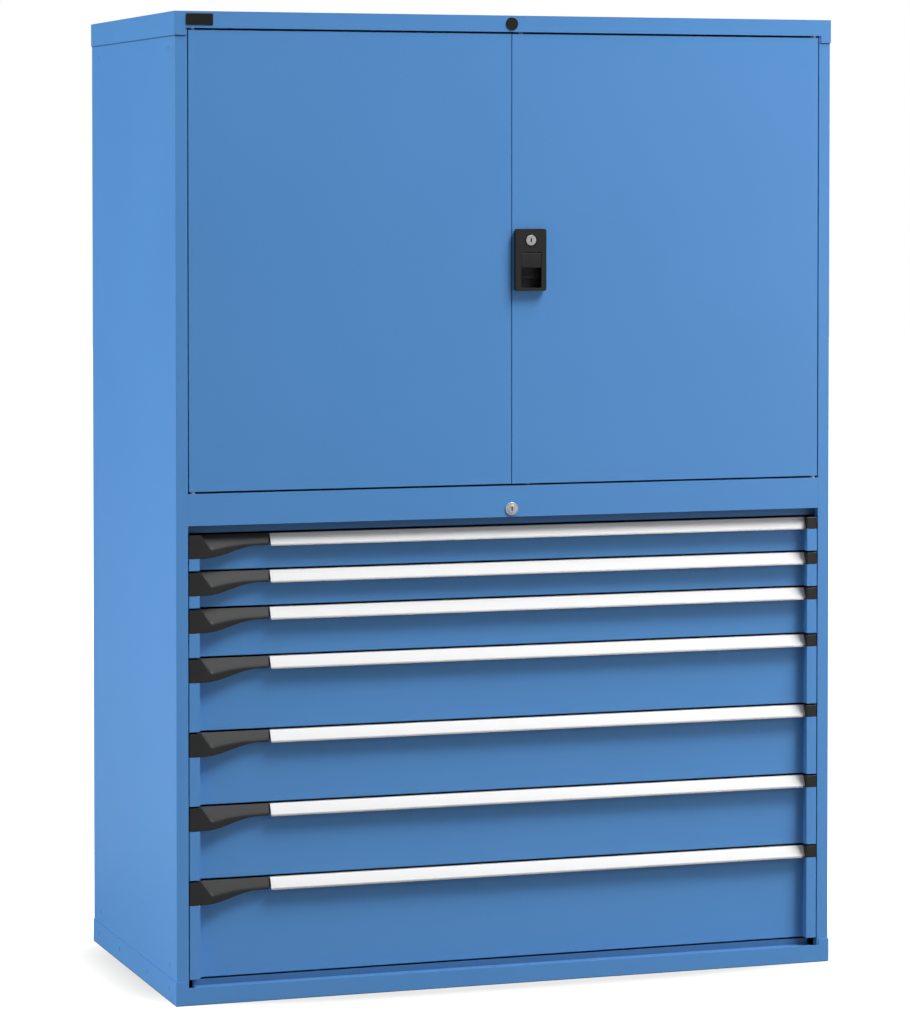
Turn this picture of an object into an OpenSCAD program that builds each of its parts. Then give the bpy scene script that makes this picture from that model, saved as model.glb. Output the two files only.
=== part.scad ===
// Tool cabinet: two hinged doors over a bank of full-width drawers, all of folded sheet steel.
// X runs along the width, Y from the front to the back, Z up. Millimetres.
// The origin is at the floor, in the middle of the footprint of everything that stands proud of it.

/* [Cabinet] */
// Width over the two side panels
body_w = 1428; // [1320:1:1800]
// Depth over the side panels
body_d = 717; // [700:1:900]
// Height from the floor to the top face
cabinet_h = 2000; // [1800:1:2200]
// Thickness of the folded sheet
sheet_t = 1.5; // [1.2:0.1:2]
// Width of the front stile that each side panel is folded into
stile_w = 25; // [23:0.5:30]
// Depth of the folded edges of the front frame, and how far the drawer fronts lie back
recess_d = 20; // [19:0.5:22]

/* [Base and top cap] */
// Height of the base skirt at the sides and the rear
base_h = 47.5; // [40:0.5:80]
// Height of the front face of the base
base_front_h = 35; // [25:0.5:38]
// Length of the corner relief cut out of the base ledge
ledge_relief = 10; // [5:0.5:20]
// Width of the flange that the base stands on
base_flange_w = 30; // [20:1:50]
// Height of the top cap's skirt at the sides and the rear
cap_h = 48; // [40:0.5:80]
// Height of the front face of the top cap
cap_front_h = 33.7; // [30:0.1:38]
// Width of the legs of the cap and the base in front of the stiles
cap_leg_w = 21; // [10:0.5:22]
// Diameter of the plug in the top cap
plug_d = 27; // [20:0.5:30]
// Width of the blank name plate
badge_w = 56; // [30:1:80]
// Height of the blank name plate
badge_h = 23.5; // [10:0.5:24]

/* [Doors] */
// Gap between a door and its stile
door_side_gap = 2.3; // [2:0.1:3]
// Gap above the doors
door_top_gap = 4.2; // [3.5:0.1:6]
// Gap below the doors
door_bottom_gap = 4; // [3.5:0.1:6]
// Gap between the two doors
door_middle_gap = 1.8; // [1.5:0.1:3]
// Depth of the folded edges of a door
door_d = 22; // [21.5:0.1:24]
// Distance of the hinge axis from the outer edge of a door
hinge_inset = 8.5; // [8:0.1:9]
// Distance of the hinge axis behind the face of a door
hinge_depth = 6; // [5.8:0.1:6.2]
// Diameter of the hinge pins
hinge_pin_d = 8; // [6:0.5:8]

/* [Door lock] */
// Width of the lock housing
lock_w = 67; // [66:1:75]
// Height of the lock housing
lock_h = 128; // [124:1:140]
// How far the lock housing stands proud of the door
lock_proud = 10; // [9:0.5:12]
// Distance of the housing from the door's free edge
lock_inset = 4.5; // [4:0.5:8]
// Height of the middle of the housing above the floor
lock_z = 1497.5; // [1300:0.5:1700]
// Diameter of the key cylinder
key_d = 21.4; // [18:0.2:22]
// Distance of each rod from the rotor axis
rod_offset = 9; // [8.5:0.5:10]
// Width of a rod
rod_w = 9.5; // [8:0.5:9.5]

/* [Fascia] */
// Height of the fascia between doors and drawers
fascia_h = 64.4; // [55:0.1:90]
// How far the set-back edge hangs below the fascia
fascia_drop = 15.8; // [10:0.1:25]
// Height of the drawer lock above the bottom of the fascia
drawer_lock_rise = 16.5; // [15.5:0.5:30]
// Diameter of the drawer lock's collar
drawer_lock_d = 26.5; // [24:0.5:30]
// Travel of the drawer lock bar
bar_travel = 8; // [6:0.5:8]

/* [Drawers] */
// Grid height of the lowest drawer
deep_pitch = 200; // [180:1:220]
// Grid height of each of the three drawers above it
tall_pitch = 150; // [120:1:160]
// Grid height of the fifth drawer
medium_pitch = 100; // [90:1:120]
// Grid height of each of the two top drawers
shallow_pitch = 75; // [72:1:85]
// Gap between one drawer and the next
drawer_gap = 4; // [3.5:0.1:5]
// Gap between a drawer front and the stile
drawer_side_gap = 2.2; // [2:0.1:3]
// Space between a closed drawer and the back panel
drawer_rear_gap = 71; // [60:1:120]
// How far the walls of a drawer box end below the top of its handle
wall_drop = 12; // [11:0.5:18]

/* [Handles] */
// How far the sloping face of a handle reaches down
handle_h = 25.5; // [22:0.5:28]
// How far the sloping face comes forward of its top edge
handle_reach = 12.6; // [10:0.1:14]
// Wall of the handle profile
handle_t = 1.6; // [1.4:0.1:2]
// Width of the bare lip below the label strip
label_lip = 4; // [3:0.5:8]
// Thickness of the label strip
label_t = 0.5; // [0.4:0.1:0.8]
// Length of the grip at the left end
grip_l = 168.8; // [155:0.1:190]
// Height of the grip at its tall end
grip_h = 47; // [40:0.5:52]
// Height of the grip at its low end
grip_low_h = 23.5; // [20:0.5:26]
// Wall of the grip
grip_t = 2.5; // [2:0.1:3]
// Height of the cap at the right end
end_cap_h = 24.5; // [20:0.5:30]

/* [Slides and posts] */
// Room for a slide between a corner post and the inside of a drawer wall
slide_w = 23.5; // [22:0.5:26]
// Width of a corner post, along the side panel
post_w = 30; // [25:1:40]
// Inner height of the slide channels
slide_h = 36; // [30:0.5:38]
// Height of the middle of a slide above the bottom of its drawer
slide_rise = 26; // [25:0.5:30]
// How far the middle member of a slide ends before the back of its drawer
slide_short = 15.5; // [5:0.5:40]

/* [Shelves] */
// Height of the lower shelf above the floor of its compartment
shelf_1_rise = 307; // [200:1:400]
// Height of the upper shelf above the floor of its compartment
shelf_2_rise = 612; // [500:1:750]
// Distance of a shelf behind the front frame
shelf_front_gap = 8; // [5:0.5:20]
// Distance of a shelf in front of the back panel
shelf_back_gap = 14; // [5:0.5:20]
// Height of the folded edge of a shelf
shelf_edge_h = 25; // [20:1:35]

/* [Hidden] */
smooth = 48;
fit_gap = 0.05;
slide_gap = 0.4;
seat_gap = 0.3;

steel_blue = "#578dc6";
zinc = "#b9bcc0";
chrome = "#d6d8da";
black = "#2e2e2d";
white = "#fafafa";
alloy = "#aeb0b3";

// Places measured from the left side panel and from the front plane of the stiles
mid_x = body_w / 2;
back_y = body_d - 2 * sheet_t;
roof_z = cabinet_h - sheet_t;
proud = lock_proud + 0.6;
front_y = -(body_d + sheet_t - proud) / 2;

// Drawer bank, from the lowest drawer up
pitches = [deep_pitch, tall_pitch, tall_pitch, tall_pitch, medium_pitch, shallow_pitch, shallow_pitch];
drawer_n = len(pitches);
function stacked(n) = n == 0 ? 0 : pitches[n - 1] + stacked(n - 1);
function drawer_z(i) = base_h + drawer_gap + stacked(i);
function drawer_top(i) = drawer_z(i + 1) - drawer_gap;
bank_top = drawer_z(drawer_n);

// Fascia and doors
fascia_z = bank_top + fascia_drop;
fascia_top = fascia_z + fascia_h;
door_x = stile_w + door_side_gap;
door_end_x = mid_x - door_middle_gap / 2;
door_z = fascia_top + door_bottom_gap;
cap_face_z = cabinet_h - cap_front_h;
door_top = cap_face_z - door_top_gap;
hinge_x = door_x + hinge_inset;
hinge_r = hinge_pin_d / 2;
bush_l = 12;
bush_wall = 1.8;
door_lip_w = 15;
stiffener_w = 60;
stiffener_d = 18;
frame_depth = recess_d + 4;

// Door lock, on the right door: places along X are measured from the middle of the cabinet
lock_x = door_middle_gap / 2 + lock_inset + lock_w / 2;
key_x = lock_x;
key_z = lock_z + 40.6;
key_r = key_d / 2;
rotor_x = lock_x - 7;
rotor_z = lock_z - 2;
rotor_r = 20;
rotor_t = 3;
housing_back_y = 9;
housing_wall = 2;
housing_inset = 4.5;
rotor_y = housing_back_y + 3.5;
rod_t = 2.5;
rod_tip = 3.5;
upper_rod_y = rotor_y - 0.4 - rod_t;
lower_rod_y = rotor_y + rotor_t + 0.4;
rod_swing = 60;
rod_pin_r = 1.8;
rod_pin_x = rod_offset * cos(rod_swing / 2);
rod_pin_z = rod_offset * sin(rod_swing / 2);
axle_r = 3.4;
window_w = 44.6;
window_x = lock_x + 0.5;
window_top = lock_z + 16;
window_z = lock_z - 58;
paddle_h = 31;
paddle_w = window_w - 1;
paddle_t = 5;
paddle_y = 0.5 - lock_proud;
paddle_pin_r = 1.5;
paddle_pin_y = paddle_y + paddle_t / 2;
paddle_pin_z = window_top - 6;
paddle_pin_end = 3.5;

// Drawer lock
drawer_lock_z = fascia_z + drawer_lock_rise;
plug_r = 8;
bar_t = 3;
bar_y = frame_depth - seat_gap - bar_t;
arm_h = 16;
cam_pin_r = 2.5;

// Drawer fronts, boxes and handles
front_x = stile_w + drawer_side_gap;
rail_x = stile_w + 0.5;
box_x = rail_x + slide_w;
wall_x = box_x - sheet_t;
strip_return = 14;
box_back_y = back_y - drawer_rear_gap - sheet_t;
slope_l = norm([handle_reach, handle_h]);
label_top = 0.9;
slope_y = -handle_reach / slope_l;
slope_z = -handle_h / slope_l;
face_top_y = recess_d - 1.4;
grip_x = front_x;
grip_end_x = grip_x + grip_l;
handle_x = grip_end_x + 1;
grip_step_x = 26.4;
grip_step_run = 20.8;
grip_step_drop = 29;
grip_pivot_y = recess_d + 4;
grip_pivot_drop = 6;
grip_pin_r = 2;
arm_w = 4;
arm_1_x = grip_x + 51;
arm_2_x = grip_end_x - 12.3;
ear_w = 2;

// Slides: the fixed channel, the middle member and the channel on the drawer nest along X
post_x = sheet_t;
rail_t = sheet_t;
rail_lip_x = rail_x + 12;
rail_end_y = back_y - post_w / 2;
slide_x = rail_x + rail_t + slide_gap;
slide_end_x = wall_x - slide_gap;
box_lip_x = rail_lip_x + 1;
slide_y = frame_depth + 2;
slide_end_y = box_back_y - slide_short;
slide_web_t = 6;

// Shelves
shelf_z = [fascia_top + shelf_1_rise, fascia_top + shelf_2_rise];
shelf_x = rail_x + 1;
shelf_y = frame_depth + shelf_front_gap;
shelf_end_y = back_y - shelf_back_gap;
clip_reach = 14;
clip_t = 3;

// A straight block between two opposite corners
module block(low, high) {
    translate(low) cube(high - low);
}

// Places its children from the left side panel and the front plane
module from_left() {
    translate([-mid_x, front_y, 0]) children();
}

// Places its children from the middle of the cabinet and the front plane
module from_middle() {
    translate([0, front_y, 0]) children();
}

// The left-hand shape and its mirror image on the right
module both_sides() {
    from_left() children();
    mirror([1, 0, 0]) from_left() children();
}

// Carries an outline drawn in Y and Z along X
module along_x(x0, x1) {
    translate([x0, 0, 0]) rotate([90, 0, 90]) linear_extrude(x1 - x0) children();
}

// Carries an outline drawn in X and Z along Y
module along_y(y0, y1) {
    translate([0, y1, 0]) rotate([90, 0, 0]) linear_extrude(y1 - y0) children();
}

// A round bar along Y
module bar_y_axis(x, z, r, y0, y1) {
    translate([x, y1, z]) rotate([90, 0, 0]) cylinder(r = r, h = y1 - y0, $fn = smooth);
}

// A round bar along X
module bar_x_axis(y, z, r, x0, x1) {
    translate([x0, y, z]) rotate([0, 90, 0]) cylinder(r = r, h = x1 - x0, $fn = smooth);
}

// A round bar along Z
module bar_z_axis(x, y, r, z0, z1) {
    translate([x, y, z0]) cylinder(r = r, h = z1 - z0, $fn = smooth);
}

// A centred rectangle with round corners, made of squares and circles
module round_rect(w, h, r) {
    square([w - 2 * r, h], center = true);
    square([w, h - 2 * r], center = true);
    for (sx = [-1, 1], sz = [-1, 1])
        translate([sx * (w / 2 - r), sz * (h / 2 - r)]) circle(r = r, $fn = smooth);
}

// Hanging slots that are punched near the corners of a side panel
slot_w = 2.5;
slot_h = 9;
slot_inset = 56;
slot_rise = 25;

module side_slot(y, z) {
    block([-sheet_t - 1, y - slot_w / 2, z - slot_h / 2], [sheet_t + 1, y + slot_w / 2, z + slot_h / 2]);
}

// Base: skirts on three sides, folded front with a ledge and a riser, and the floor above them
ledge_x = front_x + ledge_relief;
ledge_hole_x = 37;
ledge_hole_w = 10;
floor_beam_x = 12;

module base_tray() {
    color(steel_blue) difference() {
        union() {
            both_sides() {
                block([-sheet_t, -sheet_t, 0], [0, body_d, base_h]);
                block([0, 0, 0], [base_flange_w, body_d, sheet_t]);
                block([sheet_t, frame_depth, sheet_t], [2 * sheet_t, back_y, base_h]);
                block([-sheet_t, -sheet_t, 0], [cap_leg_w, 0, base_h]);
            }
            from_left() {
                block([-sheet_t, body_d, 0], [body_w + sheet_t, body_d + sheet_t, base_h]);
                block([0, body_d - base_flange_w, 0], [body_w, body_d, sheet_t]);
                block([-sheet_t, -sheet_t, 0], [body_w + sheet_t, 0, base_front_h]);
                block([0, 0, 0], [body_w, base_flange_w, sheet_t]);
                block([ledge_x, 0, base_front_h - sheet_t], [body_w - ledge_x, recess_d, base_front_h]);
                block([ledge_x, recess_d, base_front_h - sheet_t],
                      [body_w - ledge_x, recess_d + sheet_t, base_h]);
                block([sheet_t, frame_depth, base_h - sheet_t], [body_w - sheet_t, back_y, base_h]);
                block([ledge_x, recess_d, base_h - sheet_t], [body_w - ledge_x, frame_depth, base_h]);
            }
            from_middle() for (side = [-1, 1])
                translate([side * floor_beam_x, 0, 0])
                    block([-sheet_t / 2, base_flange_w, 0], [sheet_t / 2, back_y, base_h]);
        }
        both_sides() for (y = [slot_inset, body_d / 3, body_d * 2 / 3, body_d - slot_inset])
            side_slot(y, slot_rise);
        from_middle() for (side = [-1, 1])
            translate([side * ledge_hole_x, 0, 0])
                block([-ledge_hole_w / 2, 3, base_front_h - 2 * sheet_t],
                      [ledge_hole_w / 2, 6, base_front_h + 1]);
    }
}

// Side panel: one sheet with the front stile, its inner cheek and a rear flange
rear_flange_w = 20;

module side_sheet() {
    difference() {
        union() {
            block([0, 0, sheet_t], [sheet_t, body_d, roof_z]);
            block([0, 0, sheet_t], [stile_w, sheet_t, roof_z]);
            block([stile_w - sheet_t, 0, sheet_t], [stile_w, recess_d, roof_z]);
            block([0, body_d - sheet_t, sheet_t], [rear_flange_w, body_d, roof_z]);
        }
        for (y = [slot_inset, body_d - slot_inset], z = [base_h + slot_rise, cabinet_h - cap_h - slot_rise])
            side_slot(y, z);
    }
}

module left_side() {
    color(steel_blue) from_left() side_sheet();
}

module right_side() {
    color(steel_blue) mirror([1, 0, 0]) from_left() side_sheet();
}

// Back: one flat sheet inside the rear flanges
module back_panel() {
    color(steel_blue) from_left()
        block([sheet_t, back_y, sheet_t], [body_w - sheet_t, body_d - sheet_t, roof_z]);
}

// Slot in a horizontal flange that a rod passes through, placed from the middle
rod_slot_gap = 1;

module rod_slot(x, y, z0, z1) {
    block([x - rod_w / 2 - rod_slot_gap, y - rod_slot_gap, z0],
          [x + rod_w / 2 + rod_slot_gap, y + rod_t + rod_slot_gap, z1]);
}

// Top cap: a roof sheet over a ring of skirts with legs in front of the stiles, and the head rail
// behind its front face. The three sheets lie a seam apart.
cap_seam = 0.05;
plug_stem_r = 10;
plug_z = cabinet_h - cap_front_h / 2;

module head_rail() {
    difference() {
        from_left()
            block([stile_w, cap_seam, cap_face_z], [body_w - stile_w, recess_d, cap_face_z + sheet_t]);
        both_sides()
            bar_z_axis(hinge_x, hinge_depth, hinge_r + fit_gap, cap_face_z - 1, cap_face_z + sheet_t + 1);
        from_middle()
            rod_slot(rotor_x - rod_offset, upper_rod_y, cap_face_z - 1, cap_face_z + sheet_t + 1);
    }
}

module cap_skirts() {
    low = cabinet_h - cap_h;
    high = roof_z - cap_seam;
    difference() {
        union() {
            from_left() {
                block([-sheet_t, -sheet_t, cap_face_z], [body_w + sheet_t, 0, high]);
                block([-sheet_t, body_d, low], [body_w + sheet_t, body_d + sheet_t, high]);
            }
            both_sides() {
                block([-sheet_t, -sheet_t, low], [0, body_d, high]);
                block([-sheet_t, -sheet_t, low], [cap_leg_w, 0, high]);
            }
        }
        from_middle()
            bar_y_axis(0, plug_z, plug_stem_r + fit_gap, -sheet_t - 1, 1);
    }
}

module top_cap() {
    color(steel_blue) {
        from_left()
            block([-sheet_t, -sheet_t, roof_z], [body_w + sheet_t, body_d + sheet_t, cabinet_h]);
        cap_skirts();
        head_rail();
    }
}

// Round plug that closes the lock hole of the cap
plug_head_t = 1.5;

module top_plug() {
    color(black) from_middle() {
        bar_y_axis(0, plug_z, plug_d / 2, -sheet_t - plug_head_t, -sheet_t);
        bar_y_axis(0, plug_z, plug_stem_r, -sheet_t, 4);
    }
}

// Blank plate at the upper left
badge_t = 1;
badge_x = 22.5;
badge_rise = 0.5;

module badge_plate() {
    color(black) from_left() translate([badge_x + badge_w / 2, 0, plug_z + badge_rise])
        along_y(-sheet_t - badge_t, -sheet_t) round_rect(badge_w, badge_h, 2);
}

// Fascia between the doors and the drawers, with the set-back edge above the top drawer
module fascia_rail() {
    color(steel_blue) difference() {
        from_left() {
            block([stile_w, 0, fascia_z], [body_w - stile_w, sheet_t, fascia_top]);
            block([stile_w, 0, fascia_top - sheet_t], [body_w - stile_w, frame_depth, fascia_top]);
            block([stile_w, 0, fascia_z], [body_w - stile_w, recess_d + sheet_t, fascia_z + sheet_t]);
            block([stile_w, recess_d, bank_top], [body_w - stile_w, recess_d + sheet_t, fascia_z + sheet_t]);
        }
        both_sides()
            bar_z_axis(hinge_x, hinge_depth, hinge_r + fit_gap, fascia_top - sheet_t - 1, fascia_top + 1);
        from_middle() {
            rod_slot(rotor_x + rod_offset, lower_rod_y, fascia_top - sheet_t - 1, fascia_top + 1);
            bar_y_axis(0, drawer_lock_z, plug_r + sleeve_wall + fit_gap, -1, sheet_t + 1);
        }
    }
}

// Floor of the door compartment, folded down at its edges and notched round the posts
module divider_floor() {
    edge = 25;
    low = fascia_top - sheet_t;
    color(steel_blue) from_left() {
        block([rail_x, frame_depth, low], [body_w - rail_x, back_y, fascia_top]);
        block([post_x, frame_depth + post_w, low], [body_w - post_x, back_y - post_w, fascia_top]);
        block([rail_x, frame_depth, fascia_top - edge], [body_w - rail_x, frame_depth + sheet_t, fascia_top]);
        block([rail_x, back_y - sheet_t, fascia_top - edge], [body_w - rail_x, back_y, fascia_top]);
        block([rail_x, frame_depth, fascia_top - edge], [rail_x + sheet_t, back_y, fascia_top]);
        block([body_w - rail_x - sheet_t, frame_depth, fascia_top - edge],
              [body_w - rail_x, back_y, fascia_top]);
    }
}

// Corner posts: open channels that stand on the floor and carry slides and shelves
module post(y) {
    block([rail_x - sheet_t, y, base_h], [rail_x, y + post_w, roof_z]);
    block([post_x, y, base_h], [rail_x, y + sheet_t, roof_z]);
    block([post_x, y + post_w - sheet_t, base_h], [rail_x, y + post_w, roof_z]);
}

module corner_posts() {
    color(steel_blue) both_sides() {
        post(frame_depth);
        post(back_y - post_w);
    }
}

// Shelves: flat sheets with edges folded down all round
module shelves() {
    color(steel_blue) from_left() for (z = shelf_z)
        difference() {
            block([shelf_x, shelf_y, z - shelf_edge_h], [body_w - shelf_x, shelf_end_y, z]);
            block([shelf_x + sheet_t, shelf_y + sheet_t, z - shelf_edge_h - 1],
                  [body_w - shelf_x - sheet_t, shelf_end_y - sheet_t, z - sheet_t]);
        }
}

// Clips that hook into the posts under the corners of the shelves
module shelf_clips() {
    color(zinc) both_sides() for (z = shelf_z, y = [frame_depth + 4, back_y - post_w + 4])
        block([rail_x, y, z - shelf_edge_h - clip_t],
              [rail_x + clip_reach, y + post_w - 8, z - shelf_edge_h]);
}

// Channels fixed to the posts, one on each side of every drawer
module slide_rails() {
    outer = slide_h / 2 + rail_t;
    color(zinc) both_sides() for (i = [0 : drawer_n - 1]) {
        z = drawer_z(i) + slide_rise;
        difference() {
            block([rail_x, frame_depth, z - outer], [rail_lip_x, rail_end_y, z + outer]);
            block([rail_x + rail_t, frame_depth - 1, z - slide_h / 2],
                  [rail_lip_x + 1, rail_end_y + 1, z + slide_h / 2]);
        }
    }
}

// Hinge pins with the collars that the doors ride on
collar_r = 5.5;
pin_tail = 3;

module hinge_pins() {
    color(zinc) both_sides() {
        bar_z_axis(hinge_x, hinge_depth, hinge_r, door_top - bush_l, cap_face_z + sheet_t + pin_tail);
        bar_z_axis(hinge_x, hinge_depth, collar_r, door_top + seat_gap, cap_face_z);
        bar_z_axis(hinge_x, hinge_depth, hinge_r, fascia_top - sheet_t - pin_tail, door_z + bush_l);
        bar_z_axis(hinge_x, hinge_depth, collar_r, fascia_top, door_z - seat_gap);
    }
}

// Door leaf, drawn as the left one: face, folded edges, lips, stiffener and hinge bushes
module door_sheet() {
    x0 = door_x;
    x1 = door_end_x;
    lip_y = door_d - sheet_t;
    middle = (x0 + x1) / 2;
    difference() {
        union() {
            block([x0, 0, door_z], [x1, sheet_t, door_top]);
            block([x0, 0, door_z], [x0 + sheet_t, door_d, door_top]);
            block([x1 - sheet_t, 0, door_z], [x1, door_d, door_top]);
            block([x0, 0, door_z], [x1, door_d, door_z + sheet_t]);
            block([x0, 0, door_top - sheet_t], [x1, door_d, door_top]);
            block([x0, lip_y, door_z], [x0 + door_lip_w, door_d, door_top]);
            block([x1 - door_lip_w, lip_y, door_z], [x1, door_d, door_top]);
            block([x0, lip_y, door_z], [x1, door_d, door_z + door_lip_w]);
            block([x0, lip_y, door_top - door_lip_w], [x1, door_d, door_top]);
            for (x = [middle - stiffener_w / 2, middle + stiffener_w / 2 - sheet_t])
                block([x, 0, door_z], [x + sheet_t, stiffener_d, door_top]);
            block([middle - stiffener_w / 2, stiffener_d - sheet_t, door_z],
                  [middle + stiffener_w / 2, stiffener_d, door_top]);
            for (z = [door_z, door_top - bush_l])
                bar_z_axis(hinge_x, hinge_depth, hinge_r + bush_wall, z, z + bush_l);
        }
        for (z = [door_z, door_top - bush_l])
            bar_z_axis(hinge_x, hinge_depth, hinge_r + fit_gap, z - 1, z + bush_l + 1);
    }
}

module left_door() {
    color(steel_blue) from_left() door_sheet();
}

// Staple welded to the door that guides a rod
guide_l = 12;

module rod_guide(x, y, z) {
    wall = 2;
    half = rod_w / 2 + slide_gap;
    difference() {
        block([x - half - wall, 0, z - guide_l / 2],
              [x + half + wall, y + rod_t + slide_gap + wall, z + guide_l / 2]);
        block([x - half, y - slide_gap, z - guide_l / 2 - 1],
              [x + half, y + rod_t + slide_gap, z + guide_l / 2 + 1]);
    }
}

module right_door() {
    guide_inset = 60;
    color(steel_blue) {
        difference() {
            mirror([1, 0, 0]) from_left() door_sheet();
            from_middle() {
                translate([lock_x, 0, lock_z]) housing_body(-1, sheet_t + 1, housing_inset - 0.5);
                rod_slot(rotor_x - rod_offset, upper_rod_y, door_top - sheet_t - 1, door_top + 1);
                rod_slot(rotor_x + rod_offset, lower_rod_y, door_z - 1, door_z + sheet_t + 1);
            }
        }
        from_middle() {
            for (z = [door_top - guide_inset, lock_z + lock_h / 2 + guide_inset])
                rod_guide(rotor_x - rod_offset, upper_rod_y, z);
            for (z = [door_z + guide_inset, lock_z - lock_h / 2 - guide_inset])
                rod_guide(rotor_x + rod_offset, lower_rod_y, z);
        }
    }
}

// Lock housing: a black moulded escutcheon with the paddle window, the key hole and the rotor's axle
module housing_body(y0, y1, inset) {
    half_w = lock_w / 2 - inset;
    half_h = lock_h / 2 - inset;
    block([-half_w, y0, -half_h], [half_w, y1, half_h]);
}

module lock_housing() {
    key_ring_r = key_r + 1.8;
    key_ring_depth = 1.5;
    color(black) from_middle() difference() {
        union() {
            translate([lock_x, 0, lock_z]) {
                along_y(-lock_proud, 0) round_rect(lock_w, lock_h, 5);
                housing_body(0, housing_back_y, housing_inset);
            }
            bar_y_axis(rotor_x, rotor_z, axle_r, 0, lower_rod_y + rod_t);
        }
        block([window_x - window_w / 2, -lock_proud - 1, window_z],
              [window_x + window_w / 2, housing_back_y - housing_wall, window_top]);
        bar_y_axis(key_x, key_z, key_r + fit_gap, -lock_proud - 1, housing_back_y + 1);
        bar_y_axis(key_x, key_z, key_ring_r, -lock_proud - 1, key_ring_depth - lock_proud);
        bar_x_axis(paddle_pin_y, paddle_pin_z, paddle_pin_r + fit_gap,
                   window_x - window_w / 2 - paddle_pin_end - 0.5,
                   window_x + window_w / 2 + paddle_pin_end + 0.5);
    }
}

// Paddle: the plate that the fingers pull, with its curved tail in the recess
module lock_paddle() {
    plate_top = window_top - 1.2;
    plate_z = plate_top - paddle_h;
    x0 = window_x - paddle_w / 2;
    x1 = window_x + paddle_w / 2;
    tail_y = 3.5;
    tail_t = 2.5;
    tail_root_h = 3;
    tail_reach = 5;
    tail_h = 26;
    tail_end = 60;
    steps = 6;
    function tail(a, back) = [tail_y + back - tail_reach * (1 - cos(a)), plate_z + 1 - tail_h * sin(a)];
    color(black) from_middle() {
        block([x0, paddle_y, plate_z], [x1, paddle_y + paddle_t, plate_top]);
        block([x0, paddle_y + paddle_t, plate_z], [x1, tail_y + tail_t, plate_z + tail_root_h]);
        along_x(x0, x1) polygon(concat(
            [for (k = [0 : steps]) tail(tail_end * k / steps, 0)],
            [for (k = [steps : -1 : 0]) tail(tail_end * k / steps, tail_t)]));
        bar_x_axis(paddle_pin_y, paddle_pin_z, paddle_pin_r,
                   window_x - window_w / 2 - paddle_pin_end, window_x + window_w / 2 + paddle_pin_end);
    }
}

// Slot for a key in the face of a cylinder
key_slot_half_w = 1;
key_slot_half_h = 3.5;
key_slot_depth = 4;

module key_slot(x, z, face_y) {
    block([x - key_slot_half_w, face_y - 1, z - key_slot_half_h],
          [x + key_slot_half_w, face_y + key_slot_depth, z + key_slot_half_h]);
}

// Key cylinder with its slot and the cam behind the housing
module key_cylinder() {
    cam_l = 16;
    cam_half = 4;
    cam_y = housing_back_y + 0.5;
    cam_t = 2.5;
    color(chrome) from_middle() difference() {
        union() {
            bar_y_axis(key_x, key_z, key_r, -proud, cam_y);
            block([key_x - cam_half, cam_y, key_z - cam_half],
                  [key_x + cam_l, cam_y + cam_t, key_z + cam_half]);
        }
        key_slot(key_x, key_z, -proud);
    }
}

// Rotor that throws both rods, with a pin on each face
module lock_rotor() {
    color(zinc) from_middle() difference() {
        union() {
            bar_y_axis(rotor_x, rotor_z, rotor_r, rotor_y, rotor_y + rotor_t);
            bar_y_axis(rotor_x - rod_pin_x, rotor_z - rod_pin_z, rod_pin_r, upper_rod_y, rotor_y + 1);
            bar_y_axis(rotor_x + rod_pin_x, rotor_z + rod_pin_z, rod_pin_r,
                       rotor_y + rotor_t - 1, lower_rod_y + rod_t);
        }
        bar_y_axis(rotor_x, rotor_z, axle_r + fit_gap, rotor_y - 1, rotor_y + rotor_t + 1);
    }
}

// Flat rod with a slot at its inner end for the rotor's pin. Up is 1 for the upper rod, -1 for the lower.
module rod(up, y, z_tip) {
    x = rotor_x - up * rod_offset;
    pin_x = rotor_x - up * rod_pin_x;
    pin_z = rotor_z - up * rod_pin_z;
    eye_h = 7;
    play = 0.25;
    low = up > 0 ? pin_z - eye_h : z_tip;
    high = up > 0 ? z_tip : pin_z + eye_h;
    difference() {
        block([x - rod_w / 2, y, low], [x + rod_w / 2, y + rod_t, high]);
        block([min(x, pin_x) - rod_pin_r - play, y - 1, pin_z - rod_pin_r - play],
              [max(x, pin_x) + rod_pin_r + play, y + rod_t + 1, pin_z + rod_pin_r + play]);
    }
}

module upper_rod() {
    color(zinc) from_middle() rod(1, upper_rod_y, door_top + rod_tip);
}

module lower_rod() {
    color(zinc) from_middle() rod(-1, lower_rod_y, door_z - rod_tip);
}

// Collar and sleeve of the drawer lock, fixed in the fascia
collar_t = 2;
sleeve_l = 12;
sleeve_wall = 2.5;

module drawer_lock_body() {
    color(chrome) from_middle() difference() {
        union() {
            bar_y_axis(0, drawer_lock_z, drawer_lock_d / 2, -collar_t, 0);
            bar_y_axis(0, drawer_lock_z, plug_r + sleeve_wall, 0, sleeve_l);
        }
        bar_y_axis(0, drawer_lock_z, plug_r + fit_gap, -collar_t - 1, sleeve_l + 1);
    }
}

// Turning plug of the drawer lock, with the pin that lifts the bar
module drawer_lock_plug() {
    plug_face_y = -collar_t - 1;
    cam_y = sleeve_l + 0.5;
    cam_t = 2.5;
    color(chrome) from_middle() difference() {
        union() {
            bar_y_axis(0, drawer_lock_z, plug_r, plug_face_y, cam_y);
            bar_y_axis(0, drawer_lock_z, bar_travel + cam_pin_r + 1, cam_y, cam_y + cam_t);
            bar_y_axis(bar_travel, drawer_lock_z, cam_pin_r, cam_y + cam_t, bar_y + bar_t);
        }
        key_slot(0, drawer_lock_z, plug_face_y);
    }
}

// Drawer lock bar: an upright behind the right stile and an arm to the lock in the fascia
// The pin rises with the sine of its angle and the bar evenly: they part by this share of the travel
sine_lag = 0.2105;

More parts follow.
